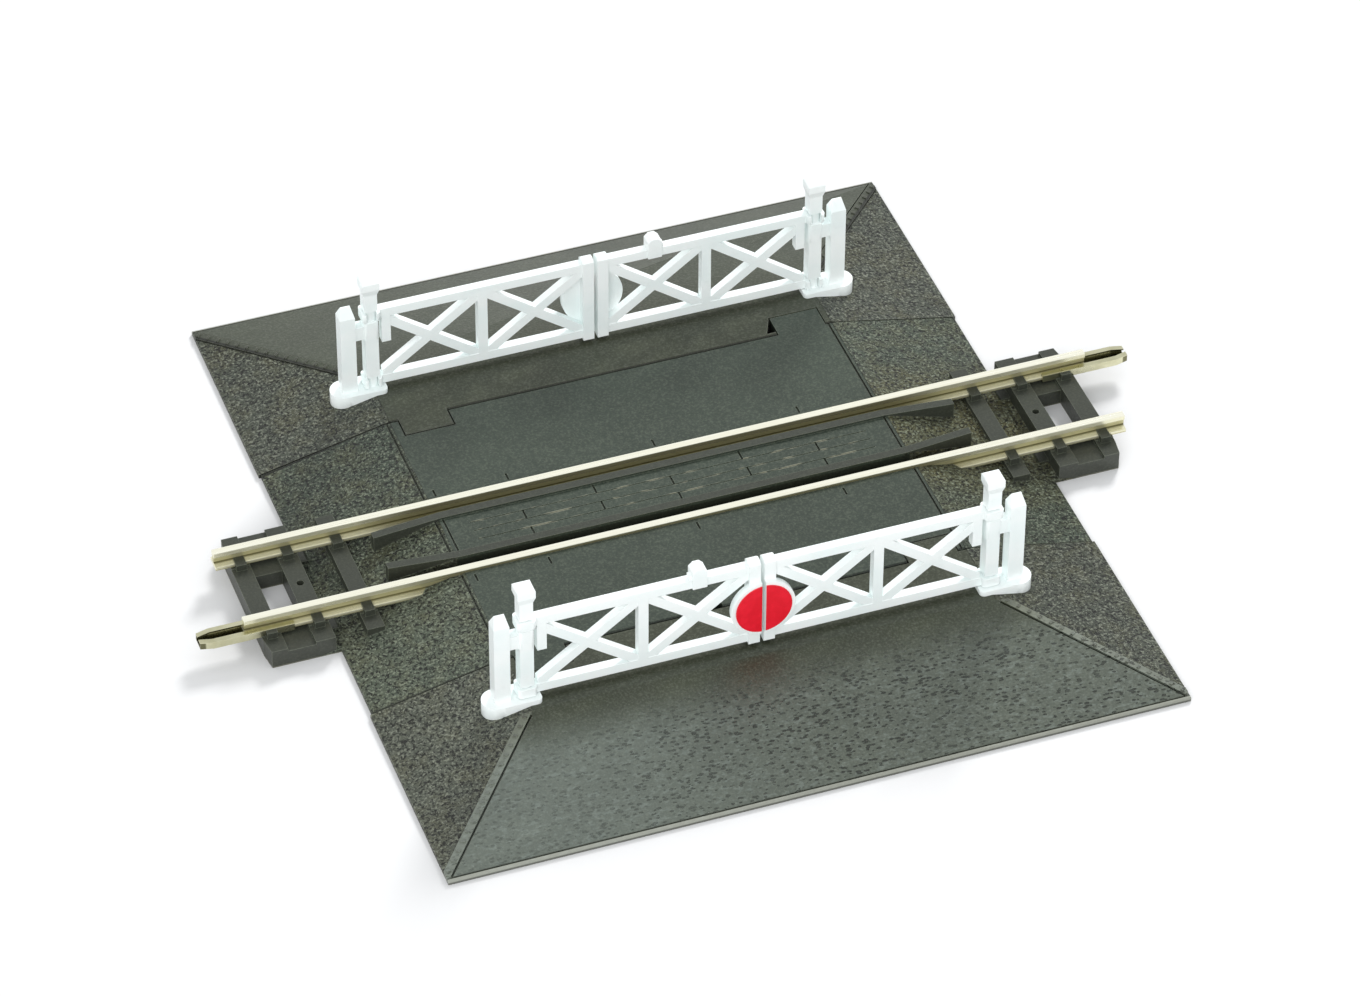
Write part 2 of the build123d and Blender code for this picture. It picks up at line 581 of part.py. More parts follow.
with BuildPart() as leaf_pattern:
    # The front right leaf, from the meeting stile at the middle to the heel.
    opening_bottom = LEAF_BOTTOM + LEAF_RAIL
    opening_top = LEAF_TOP - LEAF_RAIL
    opening_middle = (opening_bottom + opening_top) / 2
    stile_inner = LEAF_FREE_X + STILE_WIDTH
    mid_bar_from = MID_BAR_X - MID_BAR_WIDTH / 2
    mid_bar_to = MID_BAR_X + MID_BAR_WIDTH / 2
    # crossed braces, trimmed to the frame opening
    with BuildSketch(GATE_PLANE):
        for bay_from, bay_to in ((stile_inner, mid_bar_from), (mid_bar_to, LATTICE_END)):
            add(brace((bay_from, opening_bottom), (bay_to, opening_top)))
            add(brace((bay_from, opening_top), (bay_to, opening_bottom)))
        with Locations(((stile_inner + LATTICE_END) / 2, opening_middle)):
            Rectangle(LATTICE_END - stile_inner + 0.4, opening_top - opening_bottom + 0.4,
                      mode=Mode.INTERSECT)
        with Locations((LATTICE_END + 1, opening_middle)):
            Rectangle(2, opening_top - opening_bottom, mode=Mode.SUBTRACT)
    extrude(amount=BRACE_DEPTH / 2, both=True)
    # middle bar and the lug under the top rail
    add(plan_block(mid_bar_from, mid_bar_to, -GATE_Y - LEAF_THICKNESS / 2,
                   -GATE_Y + LEAF_THICKNESS / 2, LEAF_BOTTOM, LEAF_TOP))
    add(plan_block(LATTICE_END - LUG_WIDTH, LATTICE_END, -GATE_Y - LEAF_THICKNESS / 2,
                   -GATE_Y + LEAF_THICKNESS / 2, LUG_BOTTOM, LEAF_TOP))
    # top and bottom rails, ending in the eyes
    for z in (LEAF_BOTTOM, LEAF_TOP - LEAF_RAIL):
        add(plan_block(LEAF_FREE_X + 0.5, HEEL_X, -GATE_Y - LEAF_THICKNESS / 2,
                       -GATE_Y + LEAF_THICKNESS / 2, z, z + LEAF_RAIL))
        with BuildSketch(Plane.XY.offset(z)):
            with Locations((HEEL_X, -GATE_Y)):
                RectangleRounded(EYE_SIDE, EYE_SIDE, EYE_CORNER)
        extrude(amount=LEAF_RAIL)
    # meeting stile, with a weathered top
    add(plan_block(LEAF_FREE_X, stile_inner, -GATE_Y - STILE_DEPTH / 2, -GATE_Y + STILE_DEPTH / 2,
                   STILE_BOTTOM, STILE_TOP))
    stile_top_edges = leaf_pattern.faces().sort_by(Axis.Z)[-1].edges().filter_by(Axis.X)
    chamfer(stile_top_edges, length=STILE_WEATHERING[0], length2=STILE_WEATHERING[1])
    # half of the round target, on the outward side
    target_back = GATE_PLANE.offset(LEAF_THICKNESS / 2)
    with BuildSketch(target_back.offset(-0.1)):
        with Locations((0, TARGET_Z)):
            Circle(TARGET_RADIUS)
        with Locations((LEAF_FREE_X - 5, TARGET_Z)):
            Rectangle(10, 4 * TARGET_RADIUS, mode=Mode.SUBTRACT)
    extrude(amount=TARGET_THICKNESS + 0.1)
    # bore of the eyes, open towards the track so that they snap on
    with BuildSketch(Plane.XY.offset(LEAF_BOTTOM - 1)):
        with Locations((HEEL_X, -GATE_Y)):
            Circle(EYE_BORE)
        with Locations((HEEL_X, -GATE_Y + 1)):
            Rectangle(EYE_MOUTH, 2)
    extrude(amount=LEAF_TOP - LEAF_BOTTOM + 2, mode=Mode.SUBTRACT)

with BuildPart() as label_pattern:
    with BuildSketch(GATE_PLANE.offset(LEAF_THICKNESS / 2 + TARGET_THICKNESS)):
        with Locations((0, TARGET_Z)):
            Circle(LABEL_RADIUS)
        with Locations((LEAF_FREE_X + LABEL_GAP - 5, TARGET_Z)):
            Rectangle(10, 4 * LABEL_RADIUS, mode=Mode.SUBTRACT)
    extrude(amount=LABEL_THICKNESS)

with BuildPart() as gate_leaf_front_right:
    add(leaf_pattern.part)

with BuildPart() as gate_leaf_front_left:
    add(leaf_pattern.part.mirror(Plane.YZ))

with BuildPart() as gate_leaf_rear_left:
    add(leaf_pattern.part, rotation=(0, 0, 180))

with BuildPart() as gate_leaf_rear_right:
    add(leaf_pattern.part.mirror(Plane.XZ))

with BuildPart() as target_label_front_right:
    add(label_pattern.part)

with BuildPart() as target_label_front_left:
    add(label_pattern.part.mirror(Plane.YZ))

with BuildPart() as target_label_rear_left:
    add(label_pattern.part, rotation=(0, 0, 180))

with BuildPart() as target_label_rear_right:
    add(label_pattern.part.mirror(Plane.XZ))


# ---- lamps -----------------------------------------------------------------------------
with BuildPart() as lamp_front_left:
    with BuildSketch(Plane.XY.offset(LEAF_TOP - LEAF_RAIL)):
        with Locations((-LAMP_X, -GATE_Y)):
            Rectangle(LAMP_WIDTH, LAMP_DEPTH)
    extrude(amount=LAMP_TOP - LEAF_TOP + LEAF_RAIL)
    top_edges = lamp_front_left.faces().sort_by(Axis.Z)[-1].edges()
    chamfer(top_edges.filter_by(Axis.Y), length=LAMP_SHOULDER)
    # bracket at the side, low down
    reach, bracket_half, bracket_height = LAMP_BRACKET
    add(plan_block(-LAMP_X - reach, -LAMP_X, -GATE_Y - bracket_half, -GATE_Y + bracket_half,
                   LEAF_TOP, LEAF_TOP + bracket_height))
    # saddle over the top rail
    add(plan_block(-LAMP_X - 2, -LAMP_X + 2, -GATE_Y - LEAF_THICKNESS / 2, -GATE_Y + LEAF_THICKNESS / 2,
                   0, LEAF_TOP), mode=Mode.SUBTRACT)

with BuildPart() as lamp_rear_right:
    add(lamp_front_left.part, rotation=(0, 0, 180))


# ---- hand over -------------------------------------------------------------------------
PIECES = {
    "track_base": track_base, "rail_front": rail_front, "rail_rear": rail_rear,
    "joiner_left": joiner_left, "joiner_right": joiner_right,
    "ramp_front": ramp_front, "ramp_rear": ramp_rear,
    "gate_post_front_left": gate_post_front_left, "gate_post_front_right": gate_post_front_right,
    "gate_post_rear_left": gate_post_rear_left, "gate_post_rear_right": gate_post_rear_right,
    "gate_leaf_front_left": gate_leaf_front_left, "gate_leaf_front_right": gate_leaf_front_right,
    "gate_leaf_rear_left": gate_leaf_rear_left, "gate_leaf_rear_right": gate_leaf_rear_right,
    "target_label_front_left": target_label_front_left,
    "target_label_front_right": target_label_front_right,
    "target_label_rear_left": target_label_rear_left,
    "target_label_rear_right": target_label_rear_right,
    "lamp_front_left": lamp_front_left, "lamp_rear_right": lamp_rear_right,
}

os.makedirs("parts", exist_ok=True)
for piece_name, piece in PIECES.items():
    piece.part.label = piece_name
    export_step(piece.part, f"parts/{piece_name}.step")
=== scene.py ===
"""Looks of an N gauge level crossing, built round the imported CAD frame.

Everything is in metres, in the CAD frame: +X along the rails, +Y across the railway to the rear,
+Z up, with the origin on the underside at the middle of the track.
"""
import json
import math

import bpy
from mathutils import Matrix, Vector


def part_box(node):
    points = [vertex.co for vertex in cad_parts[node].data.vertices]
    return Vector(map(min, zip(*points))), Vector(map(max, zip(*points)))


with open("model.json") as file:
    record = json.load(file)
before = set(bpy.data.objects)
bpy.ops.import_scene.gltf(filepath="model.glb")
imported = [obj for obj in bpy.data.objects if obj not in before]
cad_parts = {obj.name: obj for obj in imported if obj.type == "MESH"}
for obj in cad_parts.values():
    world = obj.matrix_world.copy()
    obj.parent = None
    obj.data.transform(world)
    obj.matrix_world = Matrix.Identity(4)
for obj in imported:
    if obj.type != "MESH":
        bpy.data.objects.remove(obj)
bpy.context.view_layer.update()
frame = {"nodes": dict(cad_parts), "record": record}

MM = 0.001

# ---- camera: the viewing angle of the reference view ------------------------------------
CAMERA_AZIMUTH = math.radians(-19.938)
CAMERA_ELEVATION = math.radians(41.108)
CAMERA_ROLL = math.radians(0.292)
CAMERA_DISTANCE = 560.25 * MM
CAMERA_TARGET = Vector((1.17, 1.62, 0.0)) * MM
CAMERA_LENS = 157.46
CAMERA_SENSOR = 36.0

# ---- floor and lights: places and sizes in metres, power in watts -----------------------
FLOOR_HALF = 3.0
FLOOR_DROP = 0.02 * MM
FLOOR_TONES = ((0.77, 0.77, 0.775, 1), (0.78, 0.78, 0.785, 1))
SKY_COLOR = (0.97, 0.99, 1.0, 1)
SKY_STRENGTH = 0.76
KEY_LIGHT = {"place": (0.36, 0.44, 0.40), "size": 0.16, "power": 3.6}
FILL_LIGHT = {"place": (-0.35, -0.60, 0.42), "size": 0.50, "power": 3.0}

# ---- places on the crossing -------------------------------------------------------------
ramp_low, ramp_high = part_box("ramp_front")
rail_low, rail_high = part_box("rail_front")
_, joiner_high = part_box("joiner_left")

ROAD_TOP = ramp_high.z
RAMP_EDGE_X = ramp_high.x
RAMP_EDGE_Y = -ramp_low.y
ROAD_HALF = 22.3 * MM          # the road is flat this far from the middle
CREST_Y = 24.8 * MM            # the ramps start to fall here
KERB_SPAN = 1.1 * MM           # the smooth kerb band beside the corner line, measured along X
LIP_TOP = 0.42 * MM            # thickness at the foot of every slope
SEAM_Y = 17.4 * MM             # the track base ends here, beside a ramp
SEAM_GAP = 0.13 * MM
VERGE_GROOVES = (-22.7 * MM, 22.0 * MM)      # grooves between the road and the verges of the base
TAB_X = 19.1 * MM              # middle of the tab that a ramp pushes into the base
TAB_HALF = 2.4 * MM
TAB_END = 15.15 * MM
BOARD_END_X = 19.7 * MM
BOARD_END_Y = 1.5 * MM
BOARD_LINE_Y = 1.225 * MM      # board lines run along the middle and this far from it
RAIL_Y = (rail_low.y + rail_high.y) / -2
JOINER_INSIDE = 0.87 * MM      # half the inner width of a rail joiner

# ---- fades: each pair is where a look starts and where it is full -----------------------
FRONT_Y = (0.0, -1 * MM)
REAR_Y = (0.0, 1 * MM)
LIT_END_X = (6 * MM, -24 * MM)               # the front left end, painted lighter: painted sheen on its slope, painted light on its verge
FAR_LEFT_X = (-24 * MM, -34 * MM)
MORE_DENTS_X = (-26 * MM, 0.0)               # the dents of the slope grow in number along this
DARKER_SEAM_X = (10 * MM, -10 * MM)
WARMER_VERGE_X = (-20 * MM, 20 * MM)
NEAR_RAILS_Y = (12 * MM, 6 * MM)
BESIDE_ROAD_X = (30 * MM, 23 * MM)
RAISED = (0.06 * MM, 0.14 * MM)              # height above the plain surface, as the sleepers have
SUNK = (-0.05 * MM, -0.16 * MM)              # height of grooves and side faces
PAST_CREST_Y = (CREST_Y, CREST_Y + 0.4 * MM)
SLOPE_Y = (CREST_Y + 0.5 * MM, CREST_Y + 6 * MM)
VERGE_OUT = (0.0, 0.15 * MM)
BEAD_Y = (RAMP_EDGE_Y - 0.28 * MM, RAMP_EDGE_Y - 0.20 * MM)
UNDER_BEAD_Z = (0.26 * MM, 0.19 * MM)
LIP_GROOVE_Y = (RAMP_EDGE_Y - 0.46 * MM, RAMP_EDGE_Y - 0.40 * MM)
FOOT_X = (RAMP_EDGE_X - 0.4 * MM, RAMP_EDGE_X - 0.3 * MM)
FOOT_Z = (0.16 * MM, 0.10 * MM)
BASE_Y = (SEAM_Y, SEAM_Y - 0.05 * MM)
BY_GROOVE = (0.18 * MM, 0.10 * MM)
BY_BOARD_LINE = (0.15 * MM, 0.08 * MM)
BOARDS_X = (BOARD_END_X, BOARD_END_X - 0.3 * MM)
BOARDS_Y = (BOARD_END_Y + 0.1 * MM, BOARD_END_Y)
RAIL_FLANK_Z = (rail_high.z - 0.02 * MM, rail_high.z - 0.12 * MM)
RAIL_UNDER_Z = (rail_low.z + 0.20 * MM, rail_low.z + 0.13 * MM)
IN_JOINER = (JOINER_INSIDE, JOINER_INSIDE - 0.04 * MM)
IN_JOINER_Z = (joiner_high.z - 0.04 * MM, joiner_high.z - 0.10 * MM)

# ---- bands: where a look starts, is full, stops being full and ends ---------------------
KERB_BAND = (0.0, 0.05 * MM, KERB_SPAN, KERB_SPAN + 0.1 * MM)
REAR_KERB_STEP = (KERB_SPAN - 0.50 * MM, KERB_SPAN - 0.15 * MM,
                  KERB_SPAN + 0.08 * MM, KERB_SPAN + 0.20 * MM)
TAB_OUTLINE = (-0.09 * MM, -0.02 * MM, SEAM_GAP + 0.02 * MM, SEAM_GAP + 0.10 * MM)
RAIL_WEB_Z = (rail_low.z + 0.42 * MM, rail_low.z + 0.50 * MM,
              rail_high.z - 0.53 * MM, rail_high.z - 0.47 * MM)
RAIL_CREASE_Z = (rail_low.z + 0.42 * MM, rail_low.z + 0.48 * MM,
                 rail_low.z + 0.56 * MM, rail_low.z + 0.62 * MM)


# ---- node helpers -----------------------------------------------------------------------
class MaterialTree:
    """Short calls for building one material's node tree. Masks and shares run from 0 to 1."""

    def __init__(self, name):
        self.material = bpy.data.materials.new(name)
        self.material.use_nodes = True
        self.graph = self.material.node_tree
        self.graph.nodes.clear()
        self.shader = self.graph.nodes.new("ShaderNodeBsdfPrincipled")
        output = self.graph.nodes.new("ShaderNodeOutputMaterial")
        self.graph.links.new(self.shader.outputs["BSDF"], output.inputs["Surface"])
        self.position = self.graph.nodes.new("ShaderNodeTexCoord").outputs["Object"]

    def put(self, socket, value):
        """Links a socket, or sets a plain value."""
        if isinstance(value, bpy.types.NodeSocket):
            self.graph.links.new(value, socket)
        else:
            socket.default_value = value

    # sums
    def math(self, operation, *values):
        """One Math node."""
        node = self.graph.nodes.new("ShaderNodeMath")
        node.operation = operation
        for socket, value in zip(node.inputs, values):
            self.put(socket, value)
        return node.outputs[0]

    def times(self, *values):
        """The product of all values."""
        product = values[0]
        for value in values[1:]:
            product = self.math("MULTIPLY", product, value)
        return product

    def largest(self, *values):
        """The greatest of all values."""
        most = values[0]
        for value in values[1:]:
            most = self.math("MAXIMUM", most, value)
        return most

    def plus(self, base, value, share=1.0):
        """Base and a share of value."""
        return self.math("MULTIPLY_ADD", value, share, base)

    def minus(self, first, second):
        return self.math("SUBTRACT", first, second)

    def absent(self, mask):
        """1 where the mask is 0, and 0 where it is 1."""
        return self.math("SUBTRACT", 1.0, mask)

    def absolute(self, value):
        return self.math("ABSOLUTE", value)

    def beyond(self, value, limit):
        """How far value lies past limit on either side of 0, or 0 inside it."""
        return self.largest(self.minus(self.absolute(value), limit), 0.0)

    def ramp(self, value, low, high, to_low=0.0, to_high=1.0):
        """Value from low..high to to_low..to_high, with smooth ends. Low may be the greater one."""
        node = self.graph.nodes.new("ShaderNodeMapRange")
        node.interpolation_type = "SMOOTHSTEP"
        for socket, number in zip(node.inputs[:5], (value, low, high, to_low, to_high)):
            self.put(socket, number)
        return node.outputs[0]

    def band(self, value, start, full_from, full_to, end):
        """1 between the two full places, falling to 0 at start and end."""
        return self.times(self.ramp(value, start, full_from), self.ramp(value, end, full_to))

    # places and patterns
    def axes(self):
        """The X, Y and Z of the shaded point, in metres."""
        node = self.graph.nodes.new("ShaderNodeSeparateXYZ")
        self.put(node.inputs[0], self.position)
        return node.outputs

    def stretch(self, scale, turn=0.0):
        """The position turned about Z and scaled, for grain with a direction."""
        node = self.graph.nodes.new("ShaderNodeMapping")
        self.put(node.inputs["Vector"], self.position)
        node.inputs["Scale"].default_value = scale
        node.inputs["Rotation"].default_value = (0, 0, turn)
        return node.outputs[0]

    def noise(self, size, detail=3.0, roughness=0.55, vector=None, distortion=0.0):
        """Noise with lumps of about size metres, from 0 to 1."""
        node = self.graph.nodes.new("ShaderNodeTexNoise")
        self.put(node.inputs["Vector"], vector or self.position)
        node.inputs["Scale"].default_value = 1.0 / size
        node.inputs["Detail"].default_value = detail
        node.inputs["Roughness"].default_value = roughness
        node.inputs["Distortion"].default_value = distortion
        return node.outputs["Fac"]

    def cells(self, size, vector):
        """Distance from the middle of cells of about size metres."""
        node = self.graph.nodes.new("ShaderNodeTexVoronoi")
        self.put(node.inputs["Vector"], vector)
        node.inputs["Scale"].default_value = 1.0 / size
        return node.outputs["Distance"]

    def edge_wear(self, radius):
        """1 on sharp outer edges, 0 elsewhere."""
        bevel = self.graph.nodes.new("ShaderNodeBevel")
        bevel.samples = 4
        bevel.inputs["Radius"].default_value = radius
        geometry = self.graph.nodes.new("ShaderNodeNewGeometry")
        dot = self.graph.nodes.new("ShaderNodeVectorMath")
        dot.operation = "DOT_PRODUCT"
        self.put(dot.inputs[0], bevel.outputs["Normal"])
        self.put(dot.inputs[1], geometry.outputs["Normal"])
        return self.ramp(dot.outputs["Value"], 0.97, 0.80)

    # results
    def blend(self, share, first, second):
        """Colour mix of first and second."""
        node = self.graph.nodes.new("ShaderNodeMix")
        node.data_type = "RGBA"
        self.put(node.inputs["Factor"], share)
        self.put(node.inputs["A"], first)
        self.put(node.inputs["B"], second)
        return node.outputs["Result"]

    def cover(self, color, tint, share, *masks):
        """The colour with a share of tint over it, where all the masks are 1."""
        return self.blend(self.times(*masks, share), color, tint)

    def bump(self, height, strength, distance):
        node = self.graph.nodes.new("ShaderNodeBump")
        node.inputs["Strength"].default_value = strength
        node.inputs["Distance"].default_value = distance
        self.put(node.inputs["Height"], height)
        return node.outputs["Normal"]

    def finish(self, color, roughness, normal=None, **settings):
        """Connects the shader and gives the material. A setting has _ for each space of its name."""
        self.put(self.shader.inputs["Base Color"], color)
        self.put(self.shader.inputs["Roughness"], roughness)
        if normal is not None:
            self.put(self.shader.inputs["Normal"], normal)
        for name, value in settings.items():
            self.put(self.shader.inputs[name.replace("_", " ")], value)
        return self.material


def srgb(red, green, blue):
    """An 8-bit display colour as the linear colour that shaders use."""
    def linear(value):
        value = value / 255
        return value / 12.92 if value <= 0.04045 else ((value + 0.055) / 1.055) ** 2.4
    return (linear(red), linear(green), linear(blue), 1.0)


# ---- colours ----------------------------------------------------------------------------
BASE_LOOK = {
    "road": srgb(53, 62, 53), "verge": srgb(66, 75, 63), "dust_and_light": srgb(150, 158, 138),
    "roughness": 0.32,
}
RAMP_LOOK = {
    "road": srgb(54, 58, 43), "verge": srgb(68, 73, 63), "dust_and_light": srgb(154, 158, 142),
    "roughness": 0.29,
}
PATCH_BRIGHTNESS = 0.84        # of the darker patches of the road
WARM_VERGE = srgb(92, 86, 52)
# Painted sheen and painted highlights on the slopes of the ramps.
PAINTED_COOL_SHEEN = srgb(158, 170, 164)
LIP_DUST = srgb(172, 168, 146)
# Painted highlight on the rounded bead of the ramps' lips.
BEAD_HIGHLIGHT = srgb(206, 206, 194)
SLEEPER_TINT = srgb(56, 55, 48)
# The colour of all painted shade on the crossing's plastic.
PAINTED_SHADE_BLACK = (0.006, 0.006, 0.005, 1.0)

# The head's tones are the lit top; below them come painted light and shade on the same metal: a darker
# flank, a painted reflection of the dark road, and painted shade on the web, in the crease and towards
# the underside.
RAIL_HEAD = (srgb(246, 243, 222), srgb(254, 252, 236))
RAIL_FLANK_SHADE = srgb(234, 230, 196)
RAIL_MIRRORED_ROAD = srgb(112, 104, 54)
RAIL_WEB_SHADE = srgb(190, 184, 140)
RAIL_CREASE_SHADE = srgb(92, 86, 44)
RAIL_UNDER_SHADE = srgb(176, 170, 122)
RAIL_STAIN = srgb(150, 140, 88)
RAIL_WORN = srgb(254, 250, 230)

JOINER_TONES = (srgb(226, 223, 190), srgb(188, 184, 142))
JOINER_TARNISH = srgb(88, 86, 52)
JOINER_WORN = srgb(248, 242, 214)

GATE_TONES = (srgb(249, 254, 253), srgb(241, 250, 249))
GATE_DIRT = srgb(186, 186, 180)
GATE_WORN = srgb(255, 255, 255)

TARGET_TONES = (srgb(226, 14, 38), srgb(238, 24, 48))
TARGET_WORN = srgb(246, 120, 130)

# How dark each painted shade of the crossing's plastic is: in the pits, dents, grooves and side faces,
# round the lip's bead, beside the road, round the tabs and on the step of the rear kerbs.
DARKNESS = {
    "pits": 0.92, "dents": 0.68, "sunk": 0.62, "lip": 0.62,
    "beside road": 0.72, "round tabs": 0.88, "rear kerbs": 0.85,
}


# ---- moulded crossing plastic -----------------------------------------------------------
def top_skin(tree, x, y):
    """Height of the plain road, verge and slope surface over a point, without any detail."""
    fall = ROAD_TOP - LIP_TOP
    across = tree.times(tree.beyond(x, ROAD_HALF), fall / (RAMP_EDGE_X - ROAD_HALF))
    along = tree.times(tree.beyond(y, CREST_Y), fall / (RAMP_EDGE_Y - CREST_Y))
    return tree.minus(ROAD_TOP, tree.largest(across, along))


def beyond_mitre(tree, x, y):
    """Distance along X from the corner line, or from the road's edge, out onto the verge."""
    mitre = (RAMP_EDGE_X - ROAD_HALF) / (RAMP_EDGE_Y - CREST_Y)
    road_edge = tree.plus(ROAD_HALF, tree.beyond(y, CREST_Y), mitre)
    return tree.minus(tree.absolute(x), road_edge)


class Zones:
    """Masks that say on which part of the crossing the shaded point lies."""

    def __init__(self, tree):
        self.x, self.y, self.z = tree.axes()
        self.from_track = tree.absolute(self.y)
        self.out = beyond_mitre(tree, self.x, self.y)
        above = tree.minus(self.z, top_skin(tree, self.x, self.y))
        self.raised = tree.ramp(above, *RAISED)
        self.in_front = tree.ramp(self.y, *FRONT_Y)
        self.lit_end = tree.times(tree.ramp(self.x, *LIT_END_X), self.in_front)
        self.past_crest = tree.ramp(self.from_track, *PAST_CREST_Y)
        self.kerb = tree.times(self.past_crest, tree.band(self.out, *KERB_BAND))
        self.verge = tree.ramp(self.out, *VERGE_OUT)
        self.stony = tree.times(self.verge, tree.absent(tree.largest(self.kerb, self.raised)))
        self.smooth = tree.absent(self.stony)
        self.slope = tree.times(self.smooth, tree.ramp(self.from_track, *SLOPE_Y))
        self.bead = tree.ramp(self.from_track, *BEAD_Y)
        self.foot = tree.times(tree.ramp(tree.absolute(self.x), *FOOT_X), tree.ramp(self.z, *FOOT_Z))
        self.sunk = tree.times(tree.ramp(above, *SUNK), tree.absent(tree.largest(self.bead, self.foot)))


def stone_grain(tree):
    """Height, pits that take painted shade, and light crumbs of the verges."""
    lumps = tree.cells(0.40 * MM, tree.stretch((1, 1.2, 1), 0.4))
    lumps = tree.ramp(lumps, 0.15, 0.85, 1.0, 0.0)
    crumbs = tree.noise(0.30 * MM, 3, 0.62, distortion=0.6)
    height = tree.plus(tree.times(crumbs, 4.0), lumps, 0.9)
    height = tree.plus(height, tree.noise(1.5 * MM, 2, 0.55), 0.9)
    pits = tree.ramp(crumbs, 0.50, 0.41)
    light = tree.ramp(tree.noise(0.26 * MM, 2, 0.6), 0.50, 0.64)
    return height, pits, light


def slope_dents(tree, zones):
    """Short dents on the front slope, fewer towards its left end and none on the bead."""
    place = tree.stretch((0.54, 1.25, 1.0), math.radians(-9))
    reach = tree.times(tree.ramp(tree.noise(0.8 * MM, 3, 0.65), 0.32, 0.58), 0.48)
    spots = tree.ramp(tree.cells(0.36 * MM, place), reach, tree.times(reach, 0.5))
    clusters = tree.ramp(tree.noise(5.0 * MM, 2, 0.5), 0.30, 0.50, 0.60, 1.0)
    share = tree.times(clusters, tree.ramp(zones.x, *MORE_DENTS_X, 0.35, 1.0))
    return tree.times(spots, share, zones.slope, zones.in_front, tree.absent(zones.bead))


def slope_rim_highlights(tree, zones):
    """Painted highlights: pale rims between the dents of the front slope."""
    streaks = tree.noise(0.42 * MM, 3, 0.65, tree.stretch((0.6, 1.2, 1)))
    return tree.times(tree.ramp(streaks, 0.50, 0.66), zones.slope, zones.in_front)


def seam_shade(tree, zones):
    """Painted shadow that the ramp's edge casts over the seam between base and ramp on the verges,
    widest at the outer end behind left.
    """
    behind_left = tree.times(tree.ramp(zones.x, *FAR_LEFT_X), tree.ramp(zones.y, *REAR_Y))
    inner = tree.plus(SEAM_Y - 0.08 * MM, behind_left, -0.16 * MM)
    outer = SEAM_Y + SEAM_GAP
    seam = tree.band(zones.from_track, tree.minus(inner, 0.05 * MM), inner, outer, outer + 0.05 * MM)
    return tree.times(seam, tree.ramp(zones.x, *DARKER_SEAM_X, 0.25, 0.9), zones.verge)


def groove_shade(tree, zones):
    """Shade along the grooves beside the road and round the tabs of the ramps."""
    left, right = (tree.absolute(tree.minus(zones.x, place)) for place in VERGE_GROOVES)
    beside_road = tree.ramp(tree.math("MINIMUM", left, right), *BY_GROOVE)
    turned = tree.times(zones.x, tree.math("SIGN", zones.y))
    beside_tab = tree.minus(tree.absolute(tree.plus(TAB_X, turned)), TAB_HALF)
    from_tab = tree.largest(beside_tab, tree.minus(TAB_END, zones.from_track))
    lines = tree.largest(tree.times(beside_road, DARKNESS["beside road"]),
                         tree.times(tree.band(from_tab, *TAB_OUTLINE), DARKNESS["round tabs"]))
    return tree.times(lines, tree.ramp(zones.from_track, *BASE_Y), tree.absent(zones.raised))


def lip_shade(tree, zones):
    """Painted shade in the groove above the bead of a ramp's lip and in the dark line under the bead.
    """
    groove = tree.times(tree.ramp(zones.from_track, *LIP_GROOVE_Y), tree.absent(zones.bead))
    under_bead = tree.times(zones.bead, tree.ramp(zones.z, *UNDER_BEAD_Z))
    return tree.times(tree.largest(groove, under_bead), DARKNESS["lip"])


def rear_kerb_shade(tree, zones):
    """Painted shade on the step on the verge's side of the rear kerbs."""
    step = tree.band(zones.out, *REAR_KERB_STEP)
    return tree.times(zones.past_crest, tree.absent(zones.in_front), step, DARKNESS["rear kerbs"])


def board_scuffs(tree, zones):
    """Broken pale scuffs along the three board lines between the check rails."""
    half_pitch = BOARD_LINE_Y / 2
    from_middle = tree.absolute(tree.minus(zones.from_track, half_pitch))
    from_line = tree.absolute(tree.minus(from_middle, half_pitch))
    on_boards = tree.times(tree.ramp(zones.from_track, *BOARDS_Y),
                           tree.ramp(tree.absolute(zones.x), *BOARDS_X))
    broken = tree.ramp(tree.noise(1.1 * MM, 3, 0.7, tree.stretch((0.35, 1, 1))), 0.50, 0.60)
    return tree.times(broken, tree.ramp(from_line, *BY_BOARD_LINE), on_boards)


def plastic_height(tree, zones, stone, dents):
    """Height of the grain: stones on the verges, a fine skin elsewhere, dents on the slope."""
    ripple = tree.times(tree.noise(2.4 * MM, 2, 0.5), 0.25)
    skin = tree.plus(ripple, tree.noise(0.30 * MM, 3, 0.65), 0.45)
    height = tree.plus(tree.times(skin, zones.smooth), stone, zones.stony)
    return tree.plus(height, dents, -2.4)


def plastic_ground(tree, zones, look):
    """Plain colour of the road and of the verges, which are warmer beside the rails."""
    patch_color = [PATCH_BRIGHTNESS * channel for channel in look["road"][:3]] + [1.0]
    patch = tree.ramp(tree.noise(7 * MM, 3, 0.6), 0.35, 0.68)
    warm = tree.ramp(tree.noise(2.6 * MM, 3, 0.6), 0.40, 0.66)
    near_rails = tree.times(tree.ramp(zones.from_track, *NEAR_RAILS_Y),
                            tree.ramp(zones.x, *WARMER_VERGE_X, 0.06, 0.42))
    verge_color = tree.blend(tree.plus(near_rails, warm, 0.28), look["verge"], WARM_VERGE)
    return tree.blend(zones.stony, tree.blend(patch, look["road"], patch_color), verge_color)


